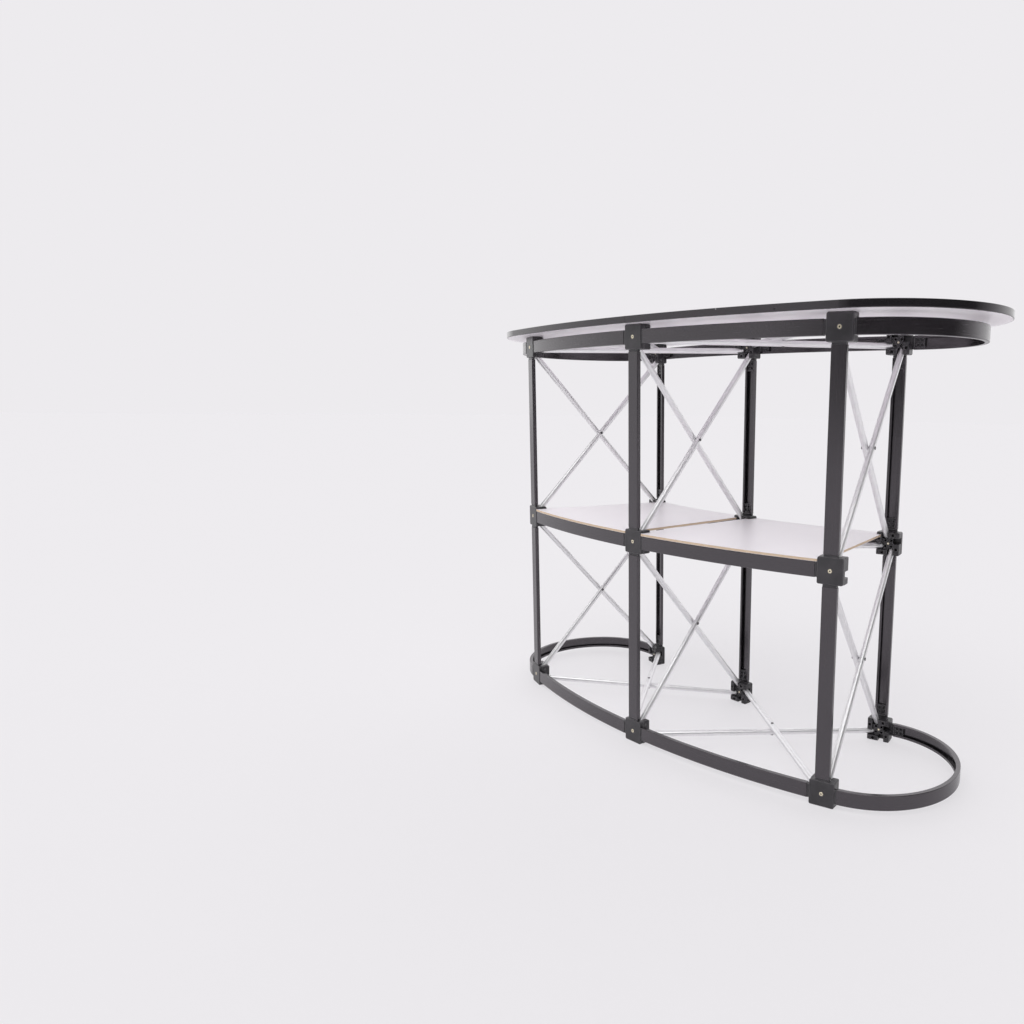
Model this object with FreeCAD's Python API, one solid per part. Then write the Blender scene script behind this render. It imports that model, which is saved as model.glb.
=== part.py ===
# Promotion counter with a folding scissor frame, black bars, two shelves and a two-piece top.
# Millimetres. +X runs along the counter, +Y from its front to the open service side, +Z up.
# The origin is on the floor, below the middle of the counter's outline.
import FreeCAD
import Part
import math
import os

Vector = FreeCAD.Vector

# Frame: three columns on a fan, seen from above, with a hub at every level in front and behind
LEVEL_SPACING = 410.0
BAY_ANGLE = 15.0
FRONT_RADIUS = 1750.0
FRAME_DEPTH = 360.0

# Hub: a square cover that takes the bars, and behind it a core with a jaw for a tube on each side
HUB_WIDTH = 48.5
HUB_CORNER = 3.5
COVER_EDGE = 1.0
JAW_DEPTH = 18.7
JAW_CORNER = 2.0
JAW_EDGE = 0.6
JAW_ROUND = 4.0
CORE_DEPTH = 11.5
PIVOT_REACH = 16.5
POCKET_SIZE = 6.0
POCKET_DEPTH = 8.5
CORE_POCKET_SIZE = 5.0
CORE_POCKET_REACH = 6.2

# Hub screw, through the cover and the core
SCREW_DIAMETER = 4.0
SCREW_HEAD_DIAMETER = 7.6
SCREW_HEAD_HEIGHT = 1.4
SCREW_HEAD_ROUND = 0.7
SCREW_SOCKET_DIAMETER = 2.8
SCREW_SOCKET_DEPTH = 3.0
SCREW_TIP_LENGTH = 1.0
SCREW_SINK_DIAMETER = 9.4
SCREW_SINK_DEPTH = 0.8

# Bars: a channel with turned-in lips, open towards the inside of the counter
BAR_WIDTH = 28.0
BAR_DEPTH = 8.5
BAR_WALL = 1.6
BAR_LIP = 5.0
BAR_ROUND = 1.2
BAR_SETBACK = 0.5

# Plug in each end of a bar, with a shoulder against the hub and a tongue that enters it
SHOULDER_LENGTH = 4.5
SHOULDER_INSET = 0.8
PLUG_LENGTH = 22.5
PLUG_POCKET_SIZE = 5.5
PLUG_POCKET_DEPTH = 3.5
PLUG_POCKET_PITCH = 9.0
PLUG_POCKET_COLUMNS = 2
PLUG_POCKET_ROWS = 2
TONGUE_WIDTH = 16.0
TONGUE_THICKNESS = 4.5
TONGUE_LENGTH = 6.0

# Scissor tubes, their end pins and the rivet where two of them cross
TUBE_DIAMETER = 12.5
TUBE_WALL = 1.2
TUBE_CROSSING_GAP = 0.4
PIN_DIAMETER = 4.0
PIN_SEAT = 5.0
RIVET_DIAMETER = 4.0
RIVET_HEAD_DIAMETER = 6.4
RIVET_HEAD_HEIGHT = 1.0
RIVET_HEAD_ROUND = 0.7

# Top board in two halves, with an edge band and two let-in hinges across the seam
TOP_THICKNESS = 13.5
TOP_OVERHANG = 20.0
TOP_END_OVERHANG = 38.0
BAND_THICKNESS = 2.0
BAND_ROUND = 1.2
SEAM_GAP = 0.6
HINGE_INSET = 90.0
HINGE_LENGTH = 60.0
HINGE_LEAF_WIDTH = 25.0
HINGE_LEAF_THICKNESS = 1.2
HINGE_LEAF_CORNER = 3.0
HINGE_KNUCKLES = 5
HINGE_BARREL_DIAMETER = 4.4
HINGE_PIN_DIAMETER = 2.0
HINGE_AXIS_RISE = 0.25

# Shelves
SHELF_THICKNESS = 5.0
SHELF_CORNER = 2.0

# Clearances
FIT_GAP = 0.3
SEAT_GAP = 0.3
PIN_GAP = 0.1
HINGE_GAP = 0.05
SHELF_GAP = 0.8

# Places that follow from the sizes above
BACK_RADIUS = FRONT_RADIUS - FRAME_DEPTH
END_RADIUS = FRAME_DEPTH / 2 - BAR_SETBACK
PLUG_START = HUB_WIDTH / 2 + FIT_GAP
BAR_START = PLUG_START + SHOULDER_LENGTH
PLUG_END = BAR_START + PLUG_LENGTH
BAR_BACK = BAR_SETBACK + BAR_DEPTH
JAW_FRONT = BAR_BACK + FIT_GAP
CORE_BACK = JAW_FRONT + CORE_DEPTH
HUB_DEPTH = JAW_FRONT + JAW_DEPTH
TUBE_RADIUS = TUBE_DIAMETER / 2
TUBE_OFFSET = TUBE_RADIUS + TUBE_CROSSING_GAP / 2
PIVOT_DEPTH = JAW_FRONT + TUBE_RADIUS + FIT_GAP
TUBE_SIDE = TUBE_OFFSET + TUBE_RADIUS

SIDES = {"left": -BAY_ANGLE, "centre": 0.0, "right": BAY_ANGLE}
BAYS = {"left": ("left", "centre"), "right": ("centre", "right")}
LEVELS = {"bottom": 0, "middle": 1, "top": 2}
STOREYS = {"lower": ("bottom", "middle"), "upper": ("middle", "top")}
FACES = ("front", "back")
PORT_TURNS = {"top": 0, "right": 90, "bottom": 180, "left": 270}

FRAME_TOP = HUB_WIDTH + LEVELS["top"] * LEVEL_SPACING
TOP_UNDERSIDE = FRAME_TOP + SEAT_GAP
TOP_SURFACE = TOP_UNDERSIDE + TOP_THICKNESS


def end_offset():
    """Axis of the right end bars, seen from the front hub face of the middle column."""
    middle_radius = (FRONT_RADIUS + BACK_RADIUS) / 2
    angle = math.radians(BAY_ANGLE)
    x = middle_radius * math.sin(angle) + PLUG_START * math.cos(angle)
    y = FRONT_RADIUS - middle_radius * math.cos(angle) + PLUG_START * math.sin(angle)
    return Vector(x, y, 0)


# The front face of the middle column lies where the top's outline has its middle at the origin
TOP_END_RADIUS = END_RADIUS + TOP_END_OVERHANG
FACE_Y = (TOP_OVERHANG - end_offset().y - TOP_END_RADIUS) / 2
FAN_CENTRE = Vector(0, FACE_Y + FRONT_RADIUS, 0)
UP = Vector(0, 0, 1)
ALONG = Vector(1, 0, 0)
INWARD = Vector(0, 1, 0)


def level_height(level):
    return HUB_WIDTH / 2 + LEVELS[level] * LEVEL_SPACING


def hub_placement(face, side, level):
    """Place of a hub: its own +Y points inward from the face, and its own +X to the right of it."""
    angle = SIDES[side]
    radius = FRONT_RADIUS if face == "front" else BACK_RADIUS
    turn = angle if face == "front" else angle + 180
    x = radius * math.sin(math.radians(angle))
    y = FAN_CENTRE.y - radius * math.cos(math.radians(angle))
    return FreeCAD.Placement(Vector(x, y, level_height(level)), FreeCAD.Rotation(UP, turn))


def port_placement(face, side, level, port):
    """Place of one side of a hub, where +Z leaves the hub along the bar or tube of that side."""
    turn = FreeCAD.Placement(Vector(), FreeCAD.Rotation(INWARD, PORT_TURNS[port]))
    return hub_placement(face, side, level).multiply(turn)


def placed(shape, placement):
    copy = shape.copy()
    copy.Placement = placement.multiply(copy.Placement)
    return copy


def turned_to_ports(shape):
    """The same shape on each of the four sides of a hub."""
    turns = []
    for turn in PORT_TURNS.values():
        turns.append(placed(shape, FreeCAD.Placement(Vector(), FreeCAD.Rotation(INWARD, turn))))
    return turns


def box(low, high):
    return Part.makeBox(high.x - low.x, high.y - low.y, high.z - low.z, low)


def rod(diameter, start, end):
    axis = end - start
    return Part.makeCylinder(diameter / 2, axis.Length, start, axis)


def polygon_face(points):
    return Part.Face(Part.makePolygon(points + points[:1]))


def mirrored(shape):
    return shape.mirror(Vector(), ALONG)


def edges_along(shape, direction):
    """Straight edges that run along a direction."""
    found = []
    for edge in shape.Edges:
        run = edge.Vertexes[-1].Point - edge.Vertexes[0].Point
        if run.Length > 0 and run.cross(direction).Length < 1e-6 * run.Length:
            found.append(edge)
    return found


def export(name, solids):
    shape = solids[0] if len(solids) == 1 else Part.makeCompound(solids)
    shape.exportStep("parts/" + name + ".step")


# Hubs

def make_hub_core():
    """Block with the four jaws, its front edge broken against the cover and its rear edges rounded."""
    half = HUB_WIDTH / 2
    core = box(Vector(-half, JAW_FRONT, -half), Vector(half, HUB_DEPTH, half))
    core = core.makeFillet(JAW_CORNER, edges_along(core, INWARD))
    front_edges = [edge for edge in core.Edges if edge.BoundBox.YMax < JAW_FRONT + FIT_GAP]
    core = core.makeChamfer(JAW_EDGE, front_edges)
    rear_edges = [edge for edge in core.Edges if edge.BoundBox.YMin > HUB_DEPTH - FIT_GAP]
    core = core.makeFillet(JAW_ROUND, rear_edges)
    core = core.cut(core_recess())
    for cutter in [jaw_notch(), pin_hole(), corner_pocket(), core_pocket()]:
        core = core.cut(turned_to_ports(cutter))
    bore = rod(SCREW_DIAMETER + 2 * PIN_GAP, Vector(), Vector(0, HUB_DEPTH, 0))
    return core.cut(bore)


def core_recess():
    """Square space between the jaws, behind the middle of the core."""
    half = TUBE_SIDE + FIT_GAP
    return box(Vector(-half, CORE_BACK, -half), Vector(half, HUB_DEPTH, half))


def jaw_notch():
    """Gap for a tube's end, beside the middle of the hub's side and open outwards."""
    half_gap = TUBE_RADIUS + FIT_GAP
    bottom = PIVOT_REACH - TUBE_RADIUS - FIT_GAP
    low = Vector(TUBE_OFFSET - half_gap, JAW_FRONT, bottom)
    return box(low, Vector(TUBE_OFFSET + half_gap, HUB_DEPTH, HUB_WIDTH))


def pin_hole():
    start = Vector(-PIN_SEAT, PIVOT_DEPTH, PIVOT_REACH)
    return rod(PIN_DIAMETER + 2 * PIN_GAP, start, Vector(HUB_WIDTH, PIVOT_DEPTH, PIVOT_REACH))


def corner_pocket():
    """Moulding pocket in the block between two jaws, between the pins of both."""
    outer = TUBE_OFFSET + TUBE_RADIUS + FIT_GAP
    middle_x = (outer + HUB_WIDTH / 2) / 2
    middle_z = (PIVOT_REACH + PIN_SEAT) / 2
    half = Vector(POCKET_SIZE / 2, 0, POCKET_SIZE / 2)
    low = Vector(middle_x, HUB_DEPTH - POCKET_DEPTH, middle_z) - half
    return box(low, Vector(middle_x, HUB_DEPTH, middle_z) + half)


def core_pocket():
    """One of four small moulding pockets round the screw."""
    half = CORE_POCKET_SIZE / 2
    low = Vector(CORE_POCKET_REACH - half, CORE_BACK - POCKET_DEPTH, CORE_POCKET_REACH - half)
    return box(low, Vector(CORE_POCKET_REACH + half, CORE_BACK, CORE_POCKET_REACH + half))


def tongue_socket():
    half_width = TONGUE_WIDTH / 2 + FIT_GAP
    half_thickness = TONGUE_THICKNESS / 2 + FIT_GAP
    middle = BAR_SETBACK + BAR_DEPTH / 2
    low = Vector(-half_width, middle - half_thickness, HUB_WIDTH / 2 - TONGUE_LENGTH - FIT_GAP)
    return box(low, Vector(half_width, middle + half_thickness, HUB_WIDTH / 2))


def takes_bar(face, side, level, port):
    """Whether a bar ends in one side of a hub."""
    if port == "top":
        return level != "top"
    if port == "bottom":
        return level != "bottom"
    outermost = side != "centre" and (port == side) == (face == "front")
    if outermost:
        return level != "middle"
    return face == "front" or level != "bottom"


def make_hub_cover(face, side, level):
    """Cover as deep as the bars, with a socket for a tongue in each side where a bar ends."""
    half = HUB_WIDTH / 2
    cover = box(Vector(-half, 0, -half), Vector(half, JAW_FRONT, half))
    cover = cover.makeFillet(HUB_CORNER, edges_along(cover, INWARD))
    front_edges = [edge for edge in cover.Edges if edge.BoundBox.YMax < COVER_EDGE / 2]
    cover = cover.makeChamfer(COVER_EDGE, front_edges)
    cutters = [rod(SCREW_SINK_DIAMETER, Vector(), Vector(0, SCREW_SINK_DEPTH, 0))]
    cutters.append(rod(SCREW_DIAMETER + 2 * PIN_GAP, Vector(), Vector(0, JAW_FRONT, 0)))
    for port, turn in PORT_TURNS.items():
        if takes_bar(face, side, level, port):
            port_turn = FreeCAD.Placement(Vector(), FreeCAD.Rotation(INWARD, turn))
            cutters.append(placed(tongue_socket(), port_turn))
    return placed(cover.cut(cutters), hub_placement(face, side, level))


def make_hub_screw():
    head_front = SCREW_SINK_DEPTH - SCREW_HEAD_HEIGHT
    head = rod(SCREW_HEAD_DIAMETER, Vector(0, head_front, 0), Vector(0, SCREW_SINK_DEPTH, 0))
    rim = [edge for edge in head.Edges if edge.BoundBox.YMax < head_front + FIT_GAP]
    head = head.makeFillet(SCREW_HEAD_ROUND, rim)
    shank = rod(SCREW_DIAMETER, Vector(0, SCREW_SINK_DEPTH, 0), Vector(0, CORE_BACK + SCREW_TIP_LENGTH, 0))
    socket_floor = Vector(0, head_front + SCREW_SOCKET_DEPTH, 0)
    socket = rod(SCREW_SOCKET_DIAMETER, Vector(0, head_front, 0), socket_floor)
    return head.fuse(shank).cut(socket)


def make_hubs():
    core = make_hub_core()
    screw = make_hub_screw()
    screws = []
    for face in FACES:
        covers = []
        for side in SIDES:
            places = [hub_placement(face, side, level) for level in LEVELS]
            export("hub_cores_" + face + "_" + side, [placed(core, place) for place in places])
            covers += [make_hub_cover(face, side, level) for level in LEVELS]
            screws += [placed(screw, place) for place in places]
        export("hub_covers_" + face, covers)
    export("hub_screws", screws)


# Bars and their end plugs

def channel_outline():
    """Section of a bar as pairs of depth behind its outer face and height from its middle."""
    half = BAR_WIDTH / 2
    upper = [(0, half), (BAR_DEPTH, half), (BAR_DEPTH, half - BAR_LIP)]
    upper += [(BAR_DEPTH - BAR_WALL, half - BAR_LIP), (BAR_DEPTH - BAR_WALL, half - BAR_WALL)]
    upper += [(BAR_WALL, half - BAR_WALL)]
    lower = [(depth, -height) for depth, height in reversed(upper)]
    return upper + lower


def plug_outline():
    """Section of a plug, which fills the channel with a small clearance."""
    half = BAR_WIDTH / 2 - BAR_WALL - FIT_GAP
    near = BAR_WALL + FIT_GAP
    far = BAR_DEPTH - BAR_WALL - FIT_GAP
    return [(near, half), (far, half), (far, -half), (near, -half)]


def shoulder_outline():
    """Section of a plug's shoulder, a little inside the outline of its bar."""
    half = BAR_WIDTH / 2 - SHOULDER_INSET
    far = BAR_DEPTH - SHOULDER_INSET
    return [(SHOULDER_INSET, half), (far, half), (far, -half), (SHOULDER_INSET, -half)]


def straight_run(outline, start, end):
    """Section carried straight out of a hub's side, from one distance to another."""
    points = [Vector(height, BAR_SETBACK + depth, start) for depth, height in outline]
    return polygon_face(points).extrude(UP * (end - start))


def round_run(outline, centre, radius, inward, start_angle, end_angle):
    """Section carried round an upright axis. Inward is -1 where the channel opens to the axis."""
    heading = Vector(math.cos(math.radians(start_angle)), math.sin(math.radians(start_angle)), 0)
    points = [centre + heading * (radius + inward * depth) + UP * height for depth, height in outline]
    return polygon_face(points).revolve(centre, UP, end_angle - start_angle)


def straight_bar(start, end):
    """Straight bar with the two long edges of its outer face rounded."""
    bar = straight_run(channel_outline(), start, end)
    outer_edges = [edge for edge in edges_along(bar, UP) if edge.BoundBox.YMax < BAR_SETBACK + BAR_WALL / 2]
    return bar.makeFillet(BAR_ROUND, outer_edges)


def round_bar(centre, radius, inward, start_angle, end_angle):
    """Curved bar with the two long edges of its outer face rounded."""
    bar = round_run(channel_outline(), centre, radius, inward, start_angle, end_angle)
    outer_edges = []
    for edge in bar.Edges:
        if edge.Curve.TypeId == "Part::GeomCircle" and abs(edge.Curve.Radius - radius) < BAR_WALL / 2:
            outer_edges.append(edge)
    return bar.makeFillet(BAR_ROUND, outer_edges)


def finish_plug(body, placement):
    """Adds the shoulder and the tongue, and cuts the grid of pockets in the open side."""
    shoulder = straight_run(shoulder_outline(), PLUG_START, BAR_START - FIT_GAP)
    middle = BAR_SETBACK + BAR_DEPTH / 2
    half_width = TONGUE_WIDTH / 2
    half_thickness = TONGUE_THICKNESS / 2
    low = Vector(-half_width, middle - half_thickness, HUB_WIDTH / 2 - TONGUE_LENGTH)
    tongue = box(low, Vector(half_width, middle + half_thickness, BAR_START - FIT_GAP))
    plug = body.fuse([placed(shoulder, placement), placed(tongue, placement)]).removeSplitter()
    floor = BAR_BACK - BAR_WALL - FIT_GAP - PLUG_POCKET_DEPTH
    first = BAR_START + (PLUG_LENGTH - (PLUG_POCKET_ROWS - 1) * PLUG_POCKET_PITCH) / 2
    pockets = []
    for column in range(PLUG_POCKET_COLUMNS):
        across = (column - (PLUG_POCKET_COLUMNS - 1) / 2) * PLUG_POCKET_PITCH
        for row in range(PLUG_POCKET_ROWS):
            centre = Vector(across, floor, first + row * PLUG_POCKET_PITCH)
            half = Vector(PLUG_POCKET_SIZE / 2, 0, PLUG_POCKET_SIZE / 2)
            pockets.append(placed(box(centre - half, centre + half + INWARD * BAR_DEPTH), placement))
    return plug.cut(pockets)


def make_uprights(plugs):
    bar = straight_bar(BAR_START, LEVEL_SPACING - BAR_START)
    plug_body = straight_run(plug_outline(), PLUG_START, PLUG_END)
    for face in FACES:
        for side in SIDES:
            for storey, (below, above) in STOREYS.items():
                foot = port_placement(face, side, below, "top")
                head = port_placement(face, side, above, "bottom")
                export("upright_" + face + "_" + side + "_" + storey, [placed(bar, foot)])
                plugs += [finish_plug(placed(plug_body, end), end) for end in (foot, head)]


def fan_rail(face, level):
    """Curved bar between the middle and the right column, with its two plugs."""
    front = face == "front"
    radius = FRONT_RADIUS - BAR_SETBACK if front else BACK_RADIUS + BAR_SETBACK
    inward = -1 if front else 1
    centre = FAN_CENTRE + UP * level_height(level)
    bar_turn = math.degrees(math.asin(BAR_START / radius))
    plug_turn = math.degrees(math.asin(PLUG_START / radius))
    end_turn = math.degrees(math.asin(PLUG_END / radius))
    first = -90
    last = -90 + BAY_ANGLE
    bar = round_bar(centre, radius, inward, first + bar_turn, last - bar_turn)
    near = round_run(plug_outline(), centre, radius, inward, first + plug_turn, first + end_turn)
    far = round_run(plug_outline(), centre, radius, inward, last - end_turn, last - plug_turn)
    near_port, far_port = ("right", "left") if front else ("left", "right")
    near_plug = finish_plug(near, port_placement(face, "centre", level, near_port))
    far_plug = finish_plug(far, port_placement(face, "right", level, far_port))
    return bar, [near_plug, far_plug]


def end_rail(level):
    """Half-round bar at the right end, from the front hub to the back hub, with its two plugs."""
    front = port_placement("front", "right", level, "right")
    back = port_placement("back", "right", level, "left")
    centre = end_offset() + INWARD * FACE_Y + UP * level_height(level)
    first = BAY_ANGLE - 90
    last = BAY_ANGLE + 90
    bar_turn = math.degrees(SHOULDER_LENGTH / END_RADIUS)
    plug_turn = math.degrees((PLUG_END - PLUG_START) / END_RADIUS)
    bar = round_bar(centre, END_RADIUS, -1, first + bar_turn, last - bar_turn)
    near = round_run(plug_outline(), centre, END_RADIUS, -1, first, first + plug_turn)
    far = round_run(plug_outline(), centre, END_RADIUS, -1, last - plug_turn, last)
    return bar, [finish_plug(near, front), finish_plug(far, back)]


def export_rail_pair(name, level, bar, ends, plugs):
    """Writes a right-hand bar and its mirror image on the left, and keeps the plugs of both."""
    export("rail_" + name + "_right_" + level, [bar])
    export("rail_" + name + "_left_" + level, [mirrored(bar)])
    plugs += ends
    plugs += [mirrored(plug) for plug in ends]


def make_rails(plugs):
    for level in ("bottom", "middle", "top"):
        bar, ends = fan_rail("front", level)
        export_rail_pair("front", level, bar, ends, plugs)
    for level in ("middle", "top"):
        bar, ends = fan_rail("back", level)
        export_rail_pair("back", level, bar, ends, plugs)
    for level in ("bottom", "top"):
        bar, ends = end_rail(level)
        export_rail_pair("end", level, bar, ends, plugs)


# Scissor tubes

def pivot(hub_port):
    """Centre of the pin that holds a tube in one side of a hub."""
    return port_placement(*hub_port).multVec(Vector(TUBE_OFFSET, PIVOT_DEPTH, PIVOT_REACH))


def pin_direction(hub_port):
    return port_placement(*hub_port).Rotation.multVec(ALONG)


def nosed_profile(radius, start, end):
    """Rod from one point to another, with a half ball round each of them."""
    run = (end - start).normalize()
    side = run.cross(UP) if abs(run.z) < 0.9 else run.cross(ALONG)
    out = side.normalize() * radius
    tip = run * radius
    bend = (out + tip * -1).normalize() * radius
    far_bend = (out + tip).normalize() * radius
    nose = Part.Arc(start - tip, start + bend, start + out).toShape()
    wall = Part.makeLine(start + out, end + out)
    far_nose = Part.Arc(end + out, end + far_bend, end + tip).toShape()
    axis = Part.makeLine(end + tip, start - tip)
    return Part.Face(Part.Wire([nose, wall, far_nose, axis])).revolve(start, run, 360)


def make_tube(start, end, pin_axis, crossing):
    """Tube between two pins, with pressed round ends and cross holes for the pins and the rivet."""
    outside = nosed_profile(TUBE_RADIUS, start, end)
    inside = nosed_profile(TUBE_RADIUS - TUBE_WALL, start, end)
    reach = pin_axis * (2 * TUBE_SIDE)
    holes = [rod(PIN_DIAMETER + 2 * PIN_GAP, point - reach, point + reach) for point in (start, end)]
    holes.append(rod(RIVET_DIAMETER + 2 * PIN_GAP, crossing - reach, crossing + reach))
    return outside.cut([inside] + holes)


def make_pin(hub_port):
    start = Vector(-PIN_SEAT + FIT_GAP, PIVOT_DEPTH, PIVOT_REACH)
    end = Vector(HUB_WIDTH / 2, PIVOT_DEPTH, PIVOT_REACH)
    return placed(rod(PIN_DIAMETER, start, end), port_placement(*hub_port))


def make_rivet(crossing, axis):
    face = axis * TUBE_SIDE
    rivet = rod(RIVET_DIAMETER, crossing - face, crossing + face)
    for way in (-1, 1):
        seat = crossing + face * way
        top = seat + axis * (way * RIVET_HEAD_HEIGHT)
        head = rod(RIVET_HEAD_DIAMETER, seat, top)
        rim = [edge for edge in head.Edges if (edge.CenterOfMass - top).Length < FIT_GAP]
        rivet = rivet.fuse(head.makeFillet(RIVET_HEAD_ROUND, rim))
    return rivet.removeSplitter()


def crossing_point(one, other):
    """Middle of the shortest line between two tubes, each given by its two pin centres."""
    run_one = one[1] - one[0]
    run_other = other[1] - other[0]
    normal = run_one.cross(run_other)
    between = other[0] - one[0]
    along_one = between.cross(run_other).dot(normal) / normal.dot(normal)
    along_other = between.cross(run_one).dot(normal) / normal.dot(normal)
    point_one = one[0] + run_one * along_one
    point_other = other[0] + run_other * along_other
    return (point_one + point_other) * 0.5


def make_scissor(name, pairs, rivets, pins):
    """Two tubes that cross, each from one hub's side to another's."""
    ends = [(pivot(start), pivot(end)) for start, end in pairs]
    axis = pin_direction(pairs[0][0])
    crossing = crossing_point(ends[0], ends[1])
    export(name, [make_tube(start, end, axis, crossing) for start, end in ends])
    rivets.append(make_rivet(crossing, axis))
    for pair in pairs:
        pins += [make_pin(hub_port) for hub_port in pair]


def make_scissors():
    rivets = []
    pins = []
    for side in SIDES:
        for storey, (below, above) in STOREYS.items():
            rising = (("front", side, below, "top"), ("back", side, above, "bottom"))
            falling = (("front", side, above, "bottom"), ("back", side, below, "top"))
            make_scissor("scissor_" + side + "_" + storey, (rising, falling), rivets, pins)
    for bay, (left, right) in BAYS.items():
        for level in LEVELS:
            low = (("front", left, level, "right"), ("back", right, level, "right"))
            high = (("front", right, level, "left"), ("back", left, level, "left"))
            make_scissor("scissor_" + level + "_" + bay, (low, high), rivets, pins)
    export("scissor_rivets", rivets)
    export("tube_end_pins", pins)


# Top board

def top_arcs(inset):
    """Front, right end and back arcs of the top, as centre and radius, moved inwards by an inset."""
    end = end_offset() + INWARD * FACE_Y
    apex_y = FACE_Y - TOP_OVERHANG
    rise = end.y - apex_y
    front_radius = (end.x ** 2 + rise ** 2 - TOP_END_RADIUS ** 2) / (2 * (rise - TOP_END_RADIUS))
    front = Vector(0, apex_y + front_radius, 0)
    back_radius = (end - FAN_CENTRE).Length - TOP_END_RADIUS
    return {"front": (front, front_radius - inset), "end": (end, TOP_END_RADIUS - inset),
            "back": (FAN_CENTRE, back_radius + inset)}


def top_outline(inset, height):
    """Outline of the top: a long front arc, a shorter back arc and a round end between them."""
    arcs = top_arcs(inset)
    end, end_radius = arcs["end"]
    points = {}
    middles = {}
    for name in ("front", "back"):
        centre, radius = arcs[name]
        points[name] = centre + (end - centre).normalize() * radius
        middles[name] = centre - INWARD * radius
    flip = FreeCAD.Matrix()
    flip.scale(-1, 1, 1)
    right = Part.Arc(points["front"], end + ALONG * end_radius, points["back"]).toShape()
    edges = [right, right.mirror(Vector(), ALONG)]
    for name, point in points.items():
        edges.append(Part.Arc(flip.multVec(point), middles[name], point).toShape())
    wire = Part.Wire(Part.__sortEdges__(edges))
    wire.translate(UP * height)
    return wire


def top_plate(inset):
    return Part.Face(top_outline(inset, TOP_UNDERSIDE)).extrude(UP * TOP_THICKNESS)


def half_space(way):
    """Everything on one side of the seam, as a block: way is -1 for the left and 1 for the right."""
    span = FRONT_RADIUS
    near = SEAM_GAP / 2
    far = near + span
    low, high = (near, far) if way > 0 else (-far, -near)
    return box(Vector(low, -span, 0), Vector(high, span, FRAME_TOP + span))


def hinge_places():
    """Middles of the two hinges along the seam."""
    back_centre, back_radius = top_arcs(0)["back"]
    front_edge = FACE_Y - TOP_OVERHANG
    back_edge = back_centre.y - back_radius
    return (front_edge + HINGE_INSET, back_edge - HINGE_INSET)


def hinge_axis_point(y):
    return Vector(0, y, TOP_SURFACE + HINGE_AXIS_RISE)


def leaf_plate(way, y, gap):
    """Flat of one hinge leaf, flush with the top, or its recess where a gap is given."""
    half = HINGE_LENGTH / 2 + gap
    far = HINGE_LEAF_WIDTH + gap
    low = TOP_SURFACE - HINGE_LEAF_THICKNESS
    start = 0 if way > 0 else -far
    plate = box(Vector(start, y - half, low), Vector(start + far, y + half, TOP_SURFACE))
    corners = [edge for edge in edges_along(plate, UP) if abs(edge.CenterOfMass.x) > far / 2]
    return plate.makeFillet(HINGE_LEAF_CORNER + gap, corners)


def hinge_recess(way, y):
    half = INWARD * (HINGE_LENGTH / 2 + FIT_GAP)
    axis = hinge_axis_point(y)
    barrel = rod(HINGE_BARREL_DIAMETER + 2 * FIT_GAP, axis - half, axis + half)
    return [leaf_plate(way, y, FIT_GAP), barrel]


def hinge_leaf(way, y):
    """Leaf with every second knuckle of the barrel, bored for the pin and clear of the other leaf."""
    pitch = HINGE_LENGTH / HINGE_KNUCKLES
    start = hinge_axis_point(y) - INWARD * (HINGE_LENGTH / 2)
    end_gap = INWARD * (FIT_GAP / 2)
    first_own = 0 if way < 0 else 1
    leaf = leaf_plate(way, y, 0)
    for knuckle in range(HINGE_KNUCKLES):
        low = start + INWARD * (knuckle * pitch)
        high = low + INWARD * pitch
        if knuckle % 2 == first_own:
            leaf = leaf.fuse(rod(HINGE_BARREL_DIAMETER, low + end_gap, high - end_gap))
        else:
            leaf = leaf.cut(rod(HINGE_BARREL_DIAMETER + 2 * FIT_GAP, low - end_gap, high + end_gap))
    bore = rod(HINGE_PIN_DIAMETER + 2 * HINGE_GAP, start, start + INWARD * HINGE_LENGTH)
    return leaf.cut(bore).removeSplitter()


def make_top():
    board = top_plate(BAND_THICKNESS)
    band = top_plate(0)
    rims = [edge for edge in band.Edges if edge.BoundBox.ZLength < FIT_GAP]
    band = band.makeFillet(BAND_ROUND, rims).cut(board)
    for way, side in ((-1, "left"), (1, "right")):
        half = board.common(half_space(way))
        for y in hinge_places():
            half = half.cut(hinge_recess(way, y))
        export("tabletop_" + side, [half])
        export("tabletop_edge_" + side, [band.common(half_space(way))])
        export("hinge_leaves_" + side, [hinge_leaf(way, y) for y in hinge_places()])
    reach = INWARD * (HINGE_LENGTH / 2)
    ends = [(hinge_axis_point(y) - reach, hinge_axis_point(y) + reach) for y in hinge_places()]
    export("hinge_pins", [rod(HINGE_PIN_DIAMETER, low, high) for low, high in ends])


# Shelves

def fan_ring(outer, inner, low, high):
    """Ring round the fan's axis, between two heights."""
    start = FAN_CENTRE + UP * low
    end = FAN_CENTRE + UP * high
    return rod(2 * outer, start, end).cut(rod(2 * inner, start, end))


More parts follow.
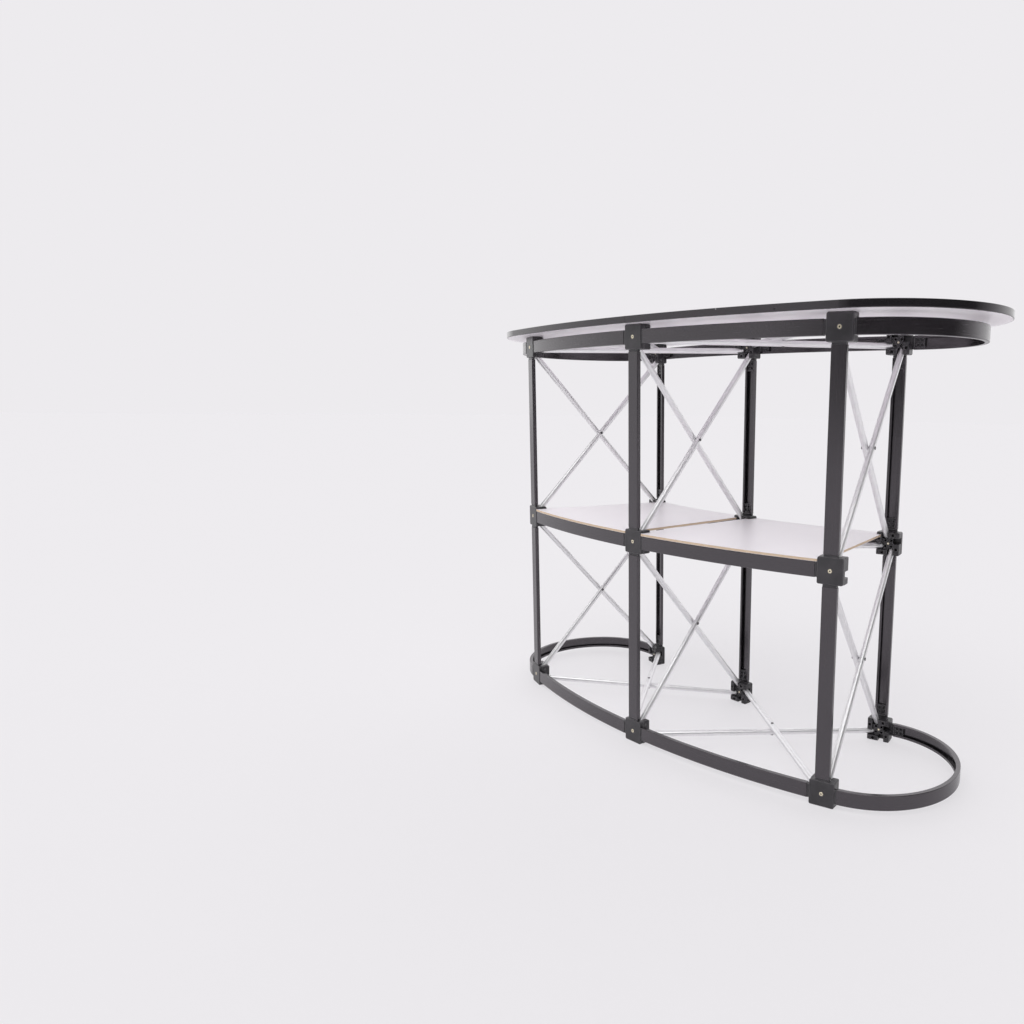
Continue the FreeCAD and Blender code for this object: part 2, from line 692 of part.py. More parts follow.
def make_shelves():
    """Right shelf on the middle rails, with its corners cut back round the hubs, and its mirror image."""
    low = level_height("middle") + BAR_WIDTH / 2 + SEAT_GAP
    high = low + SHELF_THICKNESS
    edge = TUBE_SIDE + RIVET_HEAD_HEIGHT + SHELF_GAP
    shelf = fan_ring(FRONT_RADIUS - BAR_SETBACK, BACK_RADIUS + BAR_SETBACK, low, high)
    span = FRONT_RADIUS
    for side, way in (("centre", 1), ("right", -1)):
        place = hub_placement("front", side, "bottom")
        kept = box(Vector(edge, -span, 0), Vector(edge + span, span, FRAME_TOP))
        if way < 0:
            kept = mirrored(kept)
        shelf = shelf.common(placed(kept, place))
    half = HUB_WIDTH / 2 + SHELF_GAP
    notch = box(Vector(-half, -HUB_DEPTH, -half), Vector(half, HUB_DEPTH + SHELF_GAP, half))
    notch = notch.makeFillet(SHELF_CORNER, edges_along(notch, UP))
    corners = [(face, side) for face in FACES for side in ("centre", "right")]
    shelf = shelf.cut([placed(notch, hub_placement(face, side, "middle")) for face, side in corners])
    export("shelf_right", [shelf])
    export("shelf_left", [mirrored(shelf)])


os.makedirs("parts", exist_ok=True)
bar_plugs = []
make_hubs()
make_uprights(bar_plugs)
make_rails(bar_plugs)
export("bar_end_plugs", bar_plugs)
make_scissors()
make_top()
make_shelves()
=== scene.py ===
# %% [markdown]
# # A promotion counter, dressed
# The counter is a pop-up frame: silver tubes cross between square black hubs, black channel bars stiffen
# it, two loose shelves lie half way up and a two-piece top lies on the highest hubs. All of these shapes
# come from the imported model, which is loaded first and never moved. What is left for this script is the
# camera, the light, the finish of every surface and the smallest fasteners.

# %% The frame
import bmesh
import bpy
import math
from mathutils import Matrix, Vector


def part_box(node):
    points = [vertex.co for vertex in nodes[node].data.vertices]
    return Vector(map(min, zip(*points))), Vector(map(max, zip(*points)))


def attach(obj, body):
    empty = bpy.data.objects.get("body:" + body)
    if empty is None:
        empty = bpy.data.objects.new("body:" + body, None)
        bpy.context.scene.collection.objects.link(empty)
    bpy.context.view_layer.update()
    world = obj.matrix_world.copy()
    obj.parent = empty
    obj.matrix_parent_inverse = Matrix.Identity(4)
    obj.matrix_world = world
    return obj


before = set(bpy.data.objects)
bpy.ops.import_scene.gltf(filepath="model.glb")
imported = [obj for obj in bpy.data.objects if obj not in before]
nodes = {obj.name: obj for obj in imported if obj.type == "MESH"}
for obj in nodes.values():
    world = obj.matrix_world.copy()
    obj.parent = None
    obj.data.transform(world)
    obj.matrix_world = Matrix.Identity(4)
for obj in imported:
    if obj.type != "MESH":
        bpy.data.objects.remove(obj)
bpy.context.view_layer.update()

# %% [markdown]
# ## Camera
# The photograph was taken from the front right, a little below the height of the top, so the underside of
# the top shows and its upper face doesn't. The camera's place and its three turns were fitted to the hub
# screws. The counter stands in the right half of the picture, so the lens is shifted sideways instead of
# being turned: turning it would change the perspective.

# %% Camera
CAMERA_PLACE = Vector((1.24230, -1.26800, 0.71177))
CAMERA_HEADING = math.radians(43.470)
CAMERA_PITCH = math.radians(9.135)
CAMERA_ROLL = math.radians(0.985)

lens = bpy.data.cameras.new("camera")
lens.lens = 28.061
lens.sensor_width = 36.0
lens.shift_x = -0.20325
lens.shift_y = 0.02203
camera = bpy.data.objects.new("camera", lens)
aim = Matrix.Rotation(CAMERA_HEADING, 4, "Z") @ Matrix.Rotation(math.pi / 2 - CAMERA_PITCH, 4, "X")
camera.matrix_world = Matrix.Translation(CAMERA_PLACE) @ aim @ Matrix.Rotation(CAMERA_ROLL, 4, "Z")
bpy.context.scene.collection.objects.link(camera)
bpy.context.scene.camera = camera
bpy.context.scene.view_settings.view_transform = "Standard"
print(f"camera {lens.lens} mm at {tuple(CAMERA_PLACE)}")

# %% [markdown]
# ## Nodes in one line
# Light and finishes are small graphs of nodes. A graph that is made in Python soon gets long, because each
# node, each value and each link takes a line. Four helpers keep it readable: one adds a node with its
# settings, one sets inputs by name, one does a step of arithmetic and one spreads a value over a range.

# %% Node helpers


def add_node(tree, kind, **settings):
    """A new node of that kind with its settings."""
    made = tree.nodes.new("ShaderNode" + kind)
    for key, value in settings.items():
        setattr(made, key, value)
    return made


def set_inputs(made, **values):
    """Sets inputs by name, where an underscore stands for a space."""
    for key, value in values.items():
        made.inputs[key.replace("_", " ")].default_value = value
    return made


def calculate(tree, operation, first, second):
    """One step of arithmetic on values or outputs of nodes."""
    made = add_node(tree, "Math", operation=operation)
    for socket, value in zip(made.inputs, (first, second)):
        if isinstance(value, (int, float)):
            socket.default_value = value
        else:
            tree.links.new(value, socket)
    return made.outputs["Value"]


def remap(tree, value, low, high, start=0.3, end=0.7):
    """A value from start to end, spread over low to high and held there."""
    made = set_inputs(add_node(tree, "MapRange"), From_Min=start, From_Max=end, To_Min=low, To_Max=high)
    tree.links.new(value, made.inputs["Value"])
    return made.outputs["Result"]


print("node helpers ready")

# %% [markdown]
# ## Light
# The picture is a bright studio shot: a large window on the left, pale walls behind the counter, a soft box
# above the camera and a dark room in front. Black glossy bars show all of that. Those high up mirror the
# dark room and look nearly black, and those low down mirror the white floor and look grey. So the world
# isn't one flat colour: it is a sum of soft patches, each brightest in one direction. Lamps could do the
# same, but a world has no edges that show in gloss.

# %% Light
TO_LEFT = (-1.0, 0.0, 0.0)
TO_BACK = (-0.30, 0.954, 0.0)
UPWARDS = (0.0, 0.0, 1.0)
TO_WINDOW = (-0.98, 0.20, 0.0)
TO_SOFT_BOX = (0.20, -0.45, 0.87)

world = bpy.data.worlds.new("studio")
bpy.context.scene.world = world
world.use_nodes = True
sky = world.node_tree
sky.nodes.clear()


def facing(direction, low, high, start, end):
    """How far the world's direction turns towards another, spread over low to high."""
    place = add_node(sky, "TexCoord")
    product = add_node(sky, "VectorMath", operation="DOT_PRODUCT")
    product.inputs[1].default_value = direction
    sky.links.new(place.outputs["Generated"], product.inputs[0])
    return remap(sky, product.outputs["Value"], low, high, start, end)


left_wall = facing(TO_LEFT, low=0.0, high=0.75, start=0.03, end=0.3)
back_wall = facing(TO_BACK, low=0.05, high=1.3, start=0.1, end=0.75)
dim_above = facing(UPWARDS, low=1.0, high=0.7, start=0.3, end=0.9)
walls = calculate(sky, "MULTIPLY", calculate(sky, "ADD", left_wall, back_wall), dim_above)
window = facing(TO_WINDOW, low=0.0, high=0.45, start=0.7, end=1.0)
soft_box = facing(TO_SOFT_BOX, low=0.0, high=2.0, start=0.75, end=0.97)
glow = calculate(sky, "ADD", walls, calculate(sky, "ADD", window, soft_box))
print("light: window on the left, pale walls, soft box above the camera, dark room behind it")

# %% [markdown]
# ## Backdrop
# What the camera sees directly is one even pale colour, and so is what gloss and metal see behind the
# counter. The Light Path node tells these rays from the others, so the backdrop can be nearly white and
# still light no matt surface.

# %% Backdrop
BACKDROP = (0.847, 0.831, 0.855)
TO_BACKDROP = (-0.697, 0.717, 0.0)

path = add_node(sky, "LightPath")
mirrored = calculate(sky, "MAXIMUM", path.outputs["Is Glossy Ray"], path.outputs["Is Transmission Ray"])
behind = facing(TO_BACKDROP, low=0.0, high=1.0, start=0.7, end=0.95)
shown = calculate(sky, "MAXIMUM", path.outputs["Is Camera Ray"], calculate(sky, "MULTIPLY", mirrored, behind))
lit = set_inputs(add_node(sky, "Background"), Color=(1.0, 1.0, 1.0, 1.0))
seen = set_inputs(add_node(sky, "Background"), Color=(*BACKDROP, 1.0), Strength=1.0)
choice = add_node(sky, "MixShader")
output = add_node(sky, "OutputWorld")
sky.links.new(glow, lit.inputs["Strength"])
sky.links.new(shown, choice.inputs["Fac"])
sky.links.new(lit.outputs["Background"], choice.inputs[1])
sky.links.new(seen.outputs["Background"], choice.inputs[2])
sky.links.new(choice.outputs["Shader"], output.inputs["Surface"])
print(f"backdrop {BACKDROP}")

# %% [markdown]
# ## Finishes in a few lines
# A finish starts with an empty material, and its colour, roughness and relief come from noise. Noise is read
# on Object coordinates, which are metres in the model's own frame, so a scale of 1000 makes spots about a
# millimetre wide, and a stretch below 1 makes them longer in that direction. An image could be wrapped round
# each piece instead, but noise needs no seams and no files.

# %% Finish helpers


def new_finish(name, metallic=0.0):
    """An empty finish: its material, its node tree and its shader."""
    material = bpy.data.materials.new(name)
    material.use_nodes = True
    shader = material.node_tree.nodes["Principled BSDF"]
    shader.inputs["Metallic"].default_value = metallic
    return material, material.node_tree, shader


def join(tree, shader, **outputs):
    """Joins outputs to the shader's inputs by name."""
    for key, value in outputs.items():
        tree.links.new(value, shader.inputs[key.replace("_", " ")])


def noise(tree, scale, stretch=(1, 1, 1), detail=3.0, source="Object"):
    """Noise from 0 to 1 on the object's own coordinates, finer where the stretch is larger."""
    place = add_node(tree, "TexCoord")
    spread = set_inputs(add_node(tree, "Mapping"), Scale=stretch)
    made = set_inputs(add_node(tree, "TexNoise"), Scale=scale, Detail=detail, Roughness=0.55)
    tree.links.new(place.outputs[source], spread.inputs["Vector"])
    tree.links.new(spread.outputs["Vector"], made.inputs["Vector"])
    return made.outputs["Fac"]


def blend(tree, factor, first, second):
    """A colour between two others. Each is a colour or the output of another node."""
    made = add_node(tree, "Mix", data_type="RGBA")
    tree.links.new(factor, made.inputs["Factor"])
    for socket, colour in ((made.inputs[6], first), (made.inputs[7], second)):
        if isinstance(colour, tuple):
            socket.default_value = (*colour, 1.0)
        else:
            tree.links.new(colour, socket)
    return made.outputs[2]


print("finish helpers ready")

# %% [markdown]
# ## Floor
# The floor is white paper that runs up into the wall. Here it is one large flat sheet, a hair below the
# counter so that the two never share a plane. For the camera and for reflections its lit white is mixed
# with a fixed one. It comes out as pale as the wall, so no line shows between them, and it keeps a soft
# shadow under the counter.

# %% Floor
FLOOR_HALF = 40.0
FLOOR_DROP = 0.0002
FLOOR_WHITE = (0.935, 0.917, 0.944)
FLOOR_PALER = tuple(c * 1.004 for c in FLOOR_WHITE)
FLOOR_SEEN = (0.813, 0.797, 0.821)
FLOOR_EVENED = 0.70

floor_mesh = bpy.data.meshes.new("floor")
shape = bmesh.new()
bmesh.ops.create_grid(shape, x_segments=1, y_segments=1, size=FLOOR_HALF)
bmesh.ops.translate(shape, verts=shape.verts, vec=(0.0, 0.0, -FLOOR_DROP))
shape.to_mesh(floor_mesh)
shape.free()
floor = bpy.data.objects.new("floor", floor_mesh)
bpy.context.scene.collection.objects.link(floor)
print(f"floor {2 * FLOOR_HALF} m across")

floor_finish, tree, shader = new_finish("floor_white")
set_inputs(shader, Roughness=0.9, Specular_IOR_Level=0.0)
paper = remap(tree, noise(tree, scale=1.5), low=0.0, high=1.0)
join(tree, shader, Base_Color=blend(tree, paper, FLOOR_WHITE, FLOOR_PALER))
path = add_node(tree, "LightPath")
mirrored = calculate(tree, "MAXIMUM", path.outputs["Is Glossy Ray"], path.outputs["Is Transmission Ray"])
looked_at = calculate(tree, "MAXIMUM", path.outputs["Is Camera Ray"], mirrored)
even = set_inputs(add_node(tree, "Emission"), Color=(*FLOOR_SEEN, 1.0), Strength=1.0)
choice = add_node(tree, "MixShader")
tree.links.new(calculate(tree, "MULTIPLY", looked_at, FLOOR_EVENED), choice.inputs["Fac"])
tree.links.new(shader.outputs["BSDF"], choice.inputs[1])
tree.links.new(even.outputs["Emission"], choice.inputs[2])
tree.links.new(choice.outputs["Shader"], tree.nodes["Material Output"].inputs["Surface"])
floor_mesh.materials.append(floor_finish)
print(f"floor white {FLOOR_WHITE}, evened by {FLOOR_EVENED}")

# %% [markdown]
# ## Black bars
# The bars are extruded channels with a black anodised skin, which is hard, clear and dyed a little towards
# purple. So nearly all of their brightness is reflection: the colour below it is close to black, and the
# skin's index of refraction is a little above that of aluminium oxide, to match the photo's sheen. An
# extrusion carries fine lines along its length, which show in the sheen more than in the colour, so the
# lines drive roughness and a very shallow bump.
# Uprights run up and rails run level, so there are two finishes that differ only in the way the pattern is
# stretched. A slow cloud of noise keeps long bars from looking printed, and a few pale rub marks stay faint.

# %% Black bars
BAR_DARK = (0.0100, 0.0090, 0.0105)
BAR_PALE = (0.0150, 0.0135, 0.0158)
BAR_RUBBED = (0.040, 0.037, 0.042)
BAR_TINT = (1.0, 0.93, 1.0, 1.0)
OXIDE_INDEX = 1.85
ALONG_UPRIGHT = (1.0, 1.0, 0.012)
ALONG_RAIL = (0.02, 0.02, 1.0)
RUB_STRETCH = (0.35, 0.35, 0.35)


def relief(tree, height, strength, distance, under=None):
    """A bumped normal whose highest point stands that many metres proud. It may lie on another normal."""
    made = set_inputs(add_node(tree, "Bump"), Strength=strength, Distance=distance)
    tree.links.new(height, made.inputs["Height"])
    if under:
        tree.links.new(under, made.inputs["Normal"])
    return made.outputs["Normal"]


def bar_finish(name, along):
    """Glossy black with fine lines in the bar's own direction."""
    material, tree, shader = new_finish(name)
    set_inputs(shader, IOR=OXIDE_INDEX, Specular_Tint=BAR_TINT)
    lines = noise(tree, scale=900.0, stretch=along, detail=4.0)
    cloud = remap(tree, noise(tree, scale=9.0), low=0.0, high=1.0)
    spots = noise(tree, scale=260.0, stretch=RUB_STRETCH, detail=6.0)
    rubs = remap(tree, spots, low=0.0, high=0.55, start=0.66, end=0.80)
    skin = blend(tree, cloud, BAR_DARK, BAR_PALE)
    join(tree, shader, Base_Color=blend(tree, rubs, skin, BAR_RUBBED))
    join(tree, shader, Roughness=remap(tree, lines, low=0.17, high=0.28))
    join(tree, shader, Normal=relief(tree, lines, strength=0.20, distance=0.00005))
    return material


upright_black = bar_finish("bar_black_upright", ALONG_UPRIGHT)
rail_black = bar_finish("bar_black_rail", ALONG_RAIL)
print("bars: two glossy blacks")

# %% [markdown]
# ## Moulded hubs and plugs
# Hubs, covers and bar plugs are moulded in matt black plastic. The mould was spark eroded, so its skin is
# an even, very fine grain about a third of a millimetre wide. The grain is a bump, and it also breaks up
# the roughness. Handling leaves the plastic a little greyer in places. Every edge is painted pale, partly
# as rubbing and partly as a painted highlight on the rounded edge. Blender's bevel node gives the normal of
# a rounded edge, and where that differs from the flat one, there is an edge.

# %% Moulded plastic
HUB_DARK = (0.030, 0.028, 0.032)
HUB_WORN = (0.050, 0.046, 0.052)
# Pale edge colour: partly rubbing and partly a painted highlight on the rounded edges.
HUB_EDGE_WEAR_AND_HIGHLIGHT = (0.170, 0.163, 0.174)
HUB_EDGE = 0.0014


def rounded(tree, radius):
    """A normal that turns smoothly over every edge, as if the edge had that radius."""
    return set_inputs(add_node(tree, "Bevel", samples=6), Radius=radius).outputs["Normal"]


def edges(tree, turned, start=0.90, end=0.995):
    """1 on edges, where the rounded normal leaves the flat one, and 0 on the faces between them."""
    product = add_node(tree, "VectorMath", operation="DOT_PRODUCT")
    tree.links.new(turned, product.inputs[0])
    tree.links.new(add_node(tree, "NewGeometry").outputs["Normal"], product.inputs[1])
    return remap(tree, product.outputs["Value"], 1.0, 0.0, start, end)


hub_black, tree, shader = new_finish("hub_plastic")
grain = noise(tree, scale=2600.0, detail=2.0)
worn = remap(tree, noise(tree, scale=34.0, detail=5.0), low=0.0, high=1.0, start=0.38, end=0.72)
turned = rounded(tree, HUB_EDGE)
skin = blend(tree, worn, HUB_DARK, HUB_WORN)
# Every edge is painted pale, partly as rubbing and partly as a painted highlight.
join(tree, shader, Base_Color=blend(tree, edges(tree, turned), skin, HUB_EDGE_WEAR_AND_HIGHLIGHT))
join(tree, shader, Roughness=remap(tree, grain, low=0.26, high=0.42))
join(tree, shader, Normal=relief(tree, grain, strength=0.45, distance=0.00009, under=turned))
print("hubs: matt moulded black")

# %% [markdown]
# ## Silver tubes
# The scissor tubes are drawn aluminium, etched satin, so part of their light is scattered as from white
# paint: that is the metallic value below 1. Drawing leaves fine lines along each tube, and the tubes run in
# ten directions, so no stretch of Object coordinates fits them all. But along a straight tube the
# surface normal doesn't change, only round it. Noise that is read on the normal therefore makes lines that
# follow every tube by itself.

# %% Silver tubes
TUBE_BRIGHT = (0.95, 0.945, 0.955)
TUBE_DULL = (0.88, 0.875, 0.89)
TUBE_RIM = (0.62, 0.60, 0.63, 1.0)

tube_silver, tree, shader = new_finish("tube_aluminium", metallic=0.7)
set_inputs(shader, Specular_Tint=TUBE_RIM)
drawn = noise(tree, scale=26.0, detail=4.0, source="Normal")
haze = remap(tree, noise(tree, scale=55.0, detail=4.0), low=0.0, high=1.0, start=0.35, end=0.75)
join(tree, shader, Base_Color=blend(tree, haze, TUBE_BRIGHT, TUBE_DULL))
join(tree, shader, Roughness=remap(tree, drawn, low=0.32, high=0.42))
print("tubes: drawn aluminium")

# %% [markdown]
# ## Rivets, pins, screws and hinges
# The rivets where tubes cross and the pins in the jaws are blackened steel and read as dark dots. The hub
# screws are pale yellow plated steel. The hinges in the top are zinc plated sheet, brushed along the seam.
# They are one recipe with three sets of values: a tint that drifts a little and a mottled roughness.

# %% Small metal
RIVET_TINTS = ((0.10, 0.10, 0.105), (0.17, 0.165, 0.17))
SCREW_TINTS = ((0.90, 0.83, 0.66), (0.82, 0.74, 0.55))
HINGE_TINTS = ((0.70, 0.69, 0.67), (0.60, 0.59, 0.57))
ALONG_SEAM = (1.0, 0.03, 1.0)


def plated_finish(name, tints, smooth, rough, stretch=(1, 1, 1)):
    """Plated or blackened metal between two tints, with a mottled sheen."""
    material, tree, shader = new_finish(name, metallic=1.0)
    mottle = noise(tree, scale=700.0, stretch=stretch, detail=4.0)
    drift = remap(tree, noise(tree, scale=120.0, detail=4.0), low=0.0, high=1.0)
    join(tree, shader, Base_Color=blend(tree, drift, *tints))
    join(tree, shader, Roughness=remap(tree, mottle, low=smooth, high=rough))
    join(tree, shader, Normal=relief(tree, mottle, strength=0.2, distance=0.00004))
    return material


rivet_dark = plated_finish("rivet_metal", RIVET_TINTS, smooth=0.32, rough=0.5)
screw_pale = plated_finish("fastener_metal", SCREW_TINTS, smooth=0.22, rough=0.38)
hinge_zinc = plated_finish("hinge_metal", HINGE_TINTS, smooth=0.26, rough=0.42, stretch=ALONG_SEAM)
print("small metal: dark rivets and pins, pale screws, zinc hinges")

# %% [markdown]
# ## Painted shade in the sockets of the hub screws
# The screws' sockets are painted dark, a painted shade for the shadow inside them. A socket lies just behind
# its screw's face, and all faces lie on two circles about the axis of the fan, so the distance from that
# axis tells where the sockets are. That spares a second material and leaves the mesh alone.

# %% Painted shade in the screw sockets
FRONT_FAN = 1.750
BACK_FAN = 1.390
# Painted shade: the colour inside each socket, darkened to stand for the shadow in it.
SOCKET_PAINTED_SHADE = (0.030, 0.026, 0.020)
SOCKET_START = 0.0001
SOCKET_END = 0.010

tree = screw_pale.node_tree
shader = tree.nodes["Principled BSDF"]
fan_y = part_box("hub_covers_front")[0].y + FRONT_FAN
from_axis = set_inputs(add_node(tree, "Mapping"), Location=(0.0, -fan_y, 0.0), Scale=(1.0, 1.0, 0.0))
tree.links.new(add_node(tree, "TexCoord").outputs["Object"], from_axis.inputs["Vector"])
reach = add_node(tree, "VectorMath", operation="LENGTH")
tree.links.new(from_axis.outputs["Vector"], reach.inputs[0])
behind_front = calculate(tree, "SUBTRACT", FRONT_FAN, reach.outputs["Value"])
behind_back = calculate(tree, "SUBTRACT", reach.outputs["Value"], BACK_FAN)
depth = calculate(tree, "MINIMUM", behind_front, behind_back)
below = calculate(tree, "GREATER_THAN", depth, SOCKET_START)
socket_painted_shade = calculate(tree, "MULTIPLY", below, calculate(tree, "LESS_THAN", depth, SOCKET_END))
plating = shader.inputs["Base Color"].links[0].from_socket
# Painted shade: the plating turns dark inside the socket, where its shadow would fall.
join(tree, shader, Base_Color=blend(tree, socket_painted_shade, plating, SOCKET_PAINTED_SHADE))
print(f"screw sockets: dark, about an axis at y {fan_y:.4f} m")

# %% [markdown]
# ## Boards
# The top and the shelves are fibreboard between two sheets of white laminate. The laminate shows on the
# faces that lie level, and bare tan board shows on the upright cuts, with the laminate as a pale line at
# both edges of the cut. The surface normal tells level faces from cuts, and the height tells where in the
# cut a point lies, so one finish does the whole board.

# %% Boards
LAMINATE = (0.900, 0.856, 0.898)
LAMINATE_DUSTY = tuple(c * 0.972 for c in LAMINATE)
FIBRE_TAN = (0.80, 0.64, 0.48)
FIBRE_DARK = (0.62, 0.46, 0.32)
FIBRE_STRETCH = (1.0, 1.0, 2.5)
LAMINATE_SHEET = 0.0004
LEVEL = 0.5


def laminated(tree, low, high):
    """1 where a board between two heights shows its laminate, 0 where it shows bare fibre."""
    place = add_node(tree, "TexCoord")
    normal = add_node(tree, "SeparateXYZ")
    tree.links.new(place.outputs["Normal"], normal.inputs["Vector"])
    point = add_node(tree, "SeparateXYZ")
    tree.links.new(place.outputs["Object"], point.inputs["Vector"])
    level = calculate(tree, "GREATER_THAN", calculate(tree, "ABSOLUTE", normal.outputs["Z"], 0.0), LEVEL)
    above = calculate(tree, "GREATER_THAN", point.outputs["Z"], high - LAMINATE_SHEET)
    below = calculate(tree, "LESS_THAN", point.outputs["Z"], low + LAMINATE_SHEET)
    return calculate(tree, "MAXIMUM", level, calculate(tree, "MAXIMUM", above, below))


def board_finish(name, low, high):
    """White laminate on level faces and bare fibreboard on the cuts between two heights."""
    material, tree, shader = new_finish(name)
    sheet = laminated(tree, low, high)
    fibres = noise(tree, scale=900.0, stretch=FIBRE_STRETCH, detail=6.0)
    tan = blend(tree, remap(tree, fibres, low=0.0, high=1.0), FIBRE_DARK, FIBRE_TAN)
    cloud = remap(tree, noise(tree, scale=5.0, detail=5.0), low=0.0, high=1.0)
    white = blend(tree, cloud, LAMINATE_DUSTY, LAMINATE)
    join(tree, shader, Base_Color=blend(tree, sheet, tan, white))
    peel = noise(tree, scale=520.0, detail=2.0)
    rough = add_node(tree, "Mix", data_type="FLOAT")
    tree.links.new(sheet, rough.inputs["Factor"])
    tree.links.new(remap(tree, fibres, low=0.75, high=0.92), rough.inputs[2])
    tree.links.new(remap(tree, peel, low=0.30, high=0.42), rough.inputs[3])
    join(tree, shader, Roughness=rough.outputs[0])
    join(tree, shader, Normal=relief(tree, peel, strength=0.10, distance=0.00004))
    return material


shelf_low, shelf_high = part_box("shelf_right")
top_low, top_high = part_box("tabletop_right")
shelf_white = board_finish("shelf_board", shelf_low.z, shelf_high.z)
top_white = board_finish("top_board", top_low.z, top_high.z)
print(f"boards: shelf {shelf_high.z - shelf_low.z:.4f} m, top {top_high.z - top_low.z:.4f} m thick")

# %% [markdown]
# ## Edge band
# A glossy black plastic band runs round the top. It was ironed on, so its gloss is slightly wavy, with fine
# streaks along it. It has a pale nick in one place and a scuff in another, besides a few specks that noise
# scatters. A distance from a point in the model's frame places each of the two marks.

# %% Edge band
BAND_BLACK = (0.0160, 0.0145, 0.0165)
BAND_NICK = (0.62, 0.60, 0.62)
BAND_TINT = (1.0, 0.93, 1.0, 1.0)
BAND_INDEX = 1.68
STREAK_STRETCH = (0.012, 0.012, 1.0)
WAVE_STRETCH = (1.0, 1.0, 0.3)
WAVE_HEIGHT = 0.03
STREAK_HEIGHT = 0.006
SCUFF_DEPTH = 0.25
NICK_PLACE = (0.2351, -0.2272, 0.8803)
SCUFF_PLACE = (0.3594, -0.2119, 0.8741)


def near(tree, place, inner, outer):
    """1 within one distance of a place, 0 beyond another."""
    gap = add_node(tree, "VectorMath", operation="DISTANCE")
    gap.inputs[1].default_value = place
    tree.links.new(add_node(tree, "TexCoord").outputs["Object"], gap.inputs[0])
    return remap(tree, gap.outputs["Value"], 1.0, 0.0, inner, outer)


band_gloss, tree, shader = new_finish("edge_band")
set_inputs(shader, Specular_Tint=BAND_TINT, IOR=BAND_INDEX)
streaks = noise(tree, scale=1400.0, stretch=STREAK_STRETCH, detail=4.0)
waves = calculate(tree, "MULTIPLY", noise(tree, scale=60.0, stretch=WAVE_STRETCH, detail=2.0), WAVE_HEIGHT)
ripple = calculate(tree, "ADD", waves, calculate(tree, "MULTIPLY", streaks, STREAK_HEIGHT))
scuff = near(tree, SCUFF_PLACE, inner=0.0015, outer=0.0035)
ripple = calculate(tree, "SUBTRACT", ripple, calculate(tree, "MULTIPLY", scuff, SCUFF_DEPTH))
specks = remap(tree, noise(tree, scale=230.0, detail=1.0), low=0.0, high=1.0, start=0.82, end=0.84)
nicks = calculate(tree, "MAXIMUM", specks, near(tree, NICK_PLACE, inner=0.0007, outer=0.0011))
join(tree, shader, Base_Color=blend(tree, nicks, BAND_BLACK, BAND_NICK))
join(tree, shader, Roughness=remap(tree, streaks, low=0.07, high=0.17))
join(tree, shader, Normal=relief(tree, ripple, strength=1.0, distance=0.0016))
print("edge band: glossy black with a nick and a scuff")

# %% [markdown]
# ## Which piece has which finish
# The nodes are named for their pieces, so the start of a name decides the finish. Each node's own material
# slots are filled, and its mesh stays as it is.

# %% Dressing the nodes
FINISHES = {
    "upright_": upright_black,
    "rail_": rail_black,
    "hub_cores_": hub_black,
    "hub_covers_": hub_black,
    "bar_end_plugs": hub_black,
    "scissor_rivets": rivet_dark,
    "scissor_": tube_silver,
    "tube_end_pins": rivet_dark,
    "hub_screws": screw_pale,
    "hinge_": hinge_zinc,
    "tabletop_edge_": band_gloss,
    "tabletop_": top_white,
    "shelf_": shelf_white,
}


def finish_for(name):
    """The finish of the longest entry that the name starts with."""
    fitting = [start for start in FINISHES if name.startswith(start)]
    return FINISHES[max(fitting, key=len)]


for name, node in nodes.items():
    node.data.materials.clear()
    node.data.materials.append(finish_for(name))
print(f"{len(nodes)} nodes dressed")

# %% [markdown]
# ## Head of a hinge screw
# Each hinge leaf is held by three small flat-head screws. They are too small for the solid model, so they
# are made here. A head starts as a thin cone, is cut by planes along the arms of its cross, and the faces
# inside the cross are pushed down. A boolean could sink the cross too, but cuts along planes leave cleaner
# faces.

# %% Head of a hinge screw
HEAD_RADIUS = 0.0030
HEAD_TAPER = 0.6
HEAD_RISE = 0.0001
HEAD_DEPTH = 0.0008
HEAD_SIDES = 28
CROSS_ARM = 0.0019
CROSS_WIDTH = 0.0008
CROSS_DEPTH = 0.0006
UPPER = 0.9


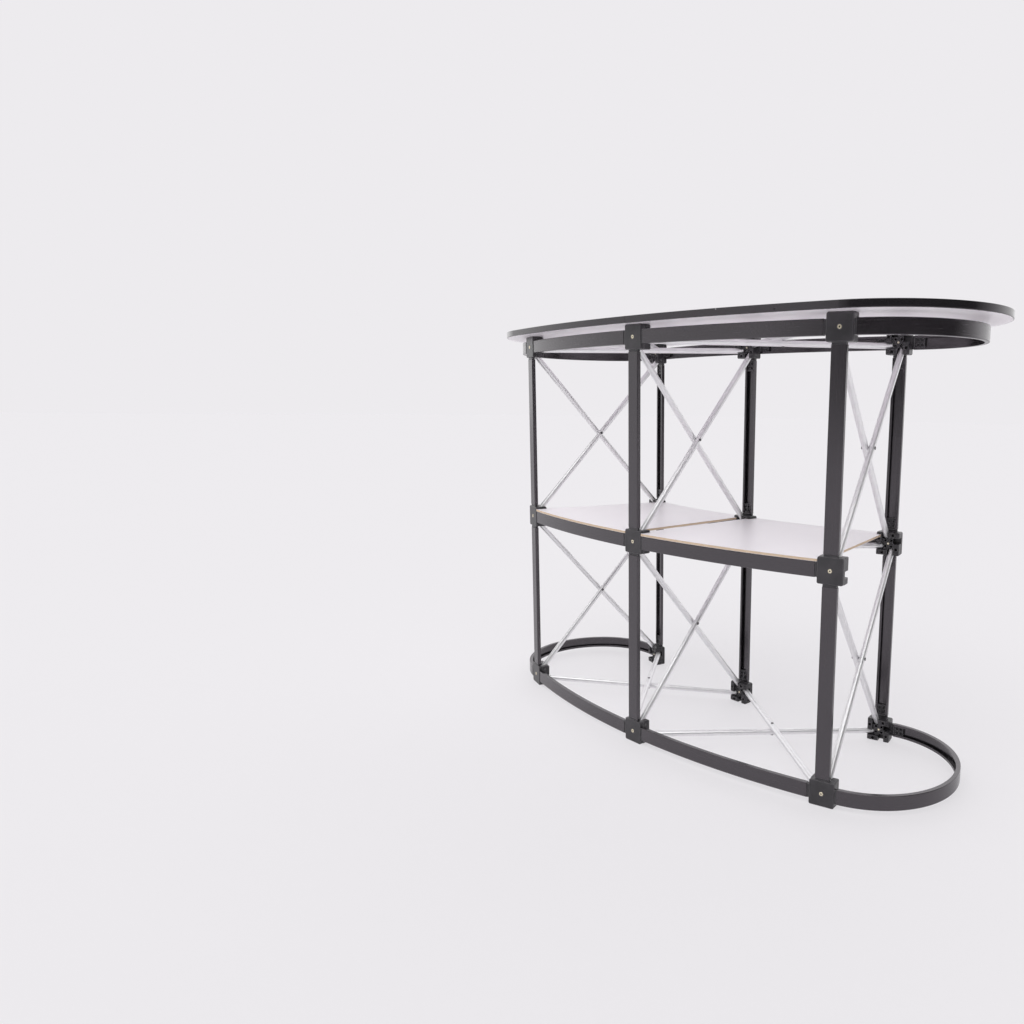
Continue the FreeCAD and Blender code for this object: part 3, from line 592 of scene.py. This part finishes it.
def cut_cross(head):
    """Cuts the upper face of a head along the arms of a cross and sinks the faces inside it."""
    for across in ((1.0, 0.0, 0.0), (0.0, 1.0, 0.0)):
        for reach in (-CROSS_ARM, -CROSS_WIDTH / 2, CROSS_WIDTH / 2, CROSS_ARM):
            upper = [face for face in head.faces if face.normal.z > UPPER]
            cut = upper + list({edge for face in upper for edge in face.edges})
            cut += list({vert for face in upper for vert in face.verts})
            bmesh.ops.bisect_plane(head, geom=cut, plane_co=Vector(across) * reach, plane_no=across)
    recess = []
    for face in head.faces:
        middle = face.calc_center_median()
        lesser, greater = sorted((abs(middle.x), abs(middle.y)))
        if face.normal.z > UPPER and lesser < CROSS_WIDTH / 2 and greater < CROSS_ARM:
            recess.append(face)
    sunk = bmesh.ops.extrude_face_region(head, geom=recess)
    floor_verts = [made for made in sunk["geom"] if isinstance(made, bmesh.types.BMVert)]
    bmesh.ops.delete(head, geom=recess, context="FACES")
    bmesh.ops.translate(head, verts=floor_verts, vec=(0.0, 0.0, -CROSS_DEPTH))


def screw_head(shape, place, turn):
    """A countersunk head with a cross recess, its face just above a point."""
    head = bmesh.new()
    bmesh.ops.create_cone(head, cap_ends=True, segments=HEAD_SIDES, radius1=HEAD_RADIUS * HEAD_TAPER,
                          radius2=HEAD_RADIUS, depth=HEAD_DEPTH)
    cut_cross(head)
    stand = Matrix.Translation(place + Vector((0.0, 0.0, HEAD_RISE - HEAD_DEPTH / 2)))
    bmesh.ops.transform(head, matrix=stand @ Matrix.Rotation(turn, 4, "Z"), verts=head.verts)
    bmesh.ops.recalc_face_normals(head, faces=head.faces)
    made = bpy.data.meshes.new("head")
    head.to_mesh(made)
    head.free()
    shape.from_mesh(made)
    bpy.data.meshes.remove(made)


print(f"a screw head is {2 * HEAD_RADIUS} m across")

# %% [markdown]
# ## Hinge screws in place
# The screws of one half of the top are one piece, which rides on that half. The three in a leaf are turned
# by different amounts, as driven screws are. The heads stand a tenth of a millimetre proud, because the two
# halves fold face to face with half a millimetre between them.

# %% Hinge screws
SCREW_PLACES = ((0.0125, -0.020), (0.0180, 0.0), (0.0125, 0.020))
LEAF_HALF = 0.030
FIRST_TURN = 0.4
TURN_STEP = 1.1

leaf_low, leaf_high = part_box("hinge_leaves_right")
for side, way, body in (("left", -1, "left_top"), ("right", 1, "right_top")):
    shape = bmesh.new()
    for hinge_y in (leaf_low.y + LEAF_HALF, leaf_high.y - LEAF_HALF):
        for number, (across, along) in enumerate(SCREW_PLACES):
            place = Vector((way * across, hinge_y + along, top_high.z))
            screw_head(shape, place, FIRST_TURN + TURN_STEP * number + way)
    mesh = bpy.data.meshes.new(f"hinge_screws_{side}")
    shape.to_mesh(mesh)
    shape.free()
    mesh.materials.append(hinge_zinc)
    screws = bpy.data.objects.new(f"hinge_screws_{side}", mesh)
    bpy.context.scene.collection.objects.link(screws)
    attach(screws, body)
    print(f"{screws.name}: {len(mesh.polygons)} faces")
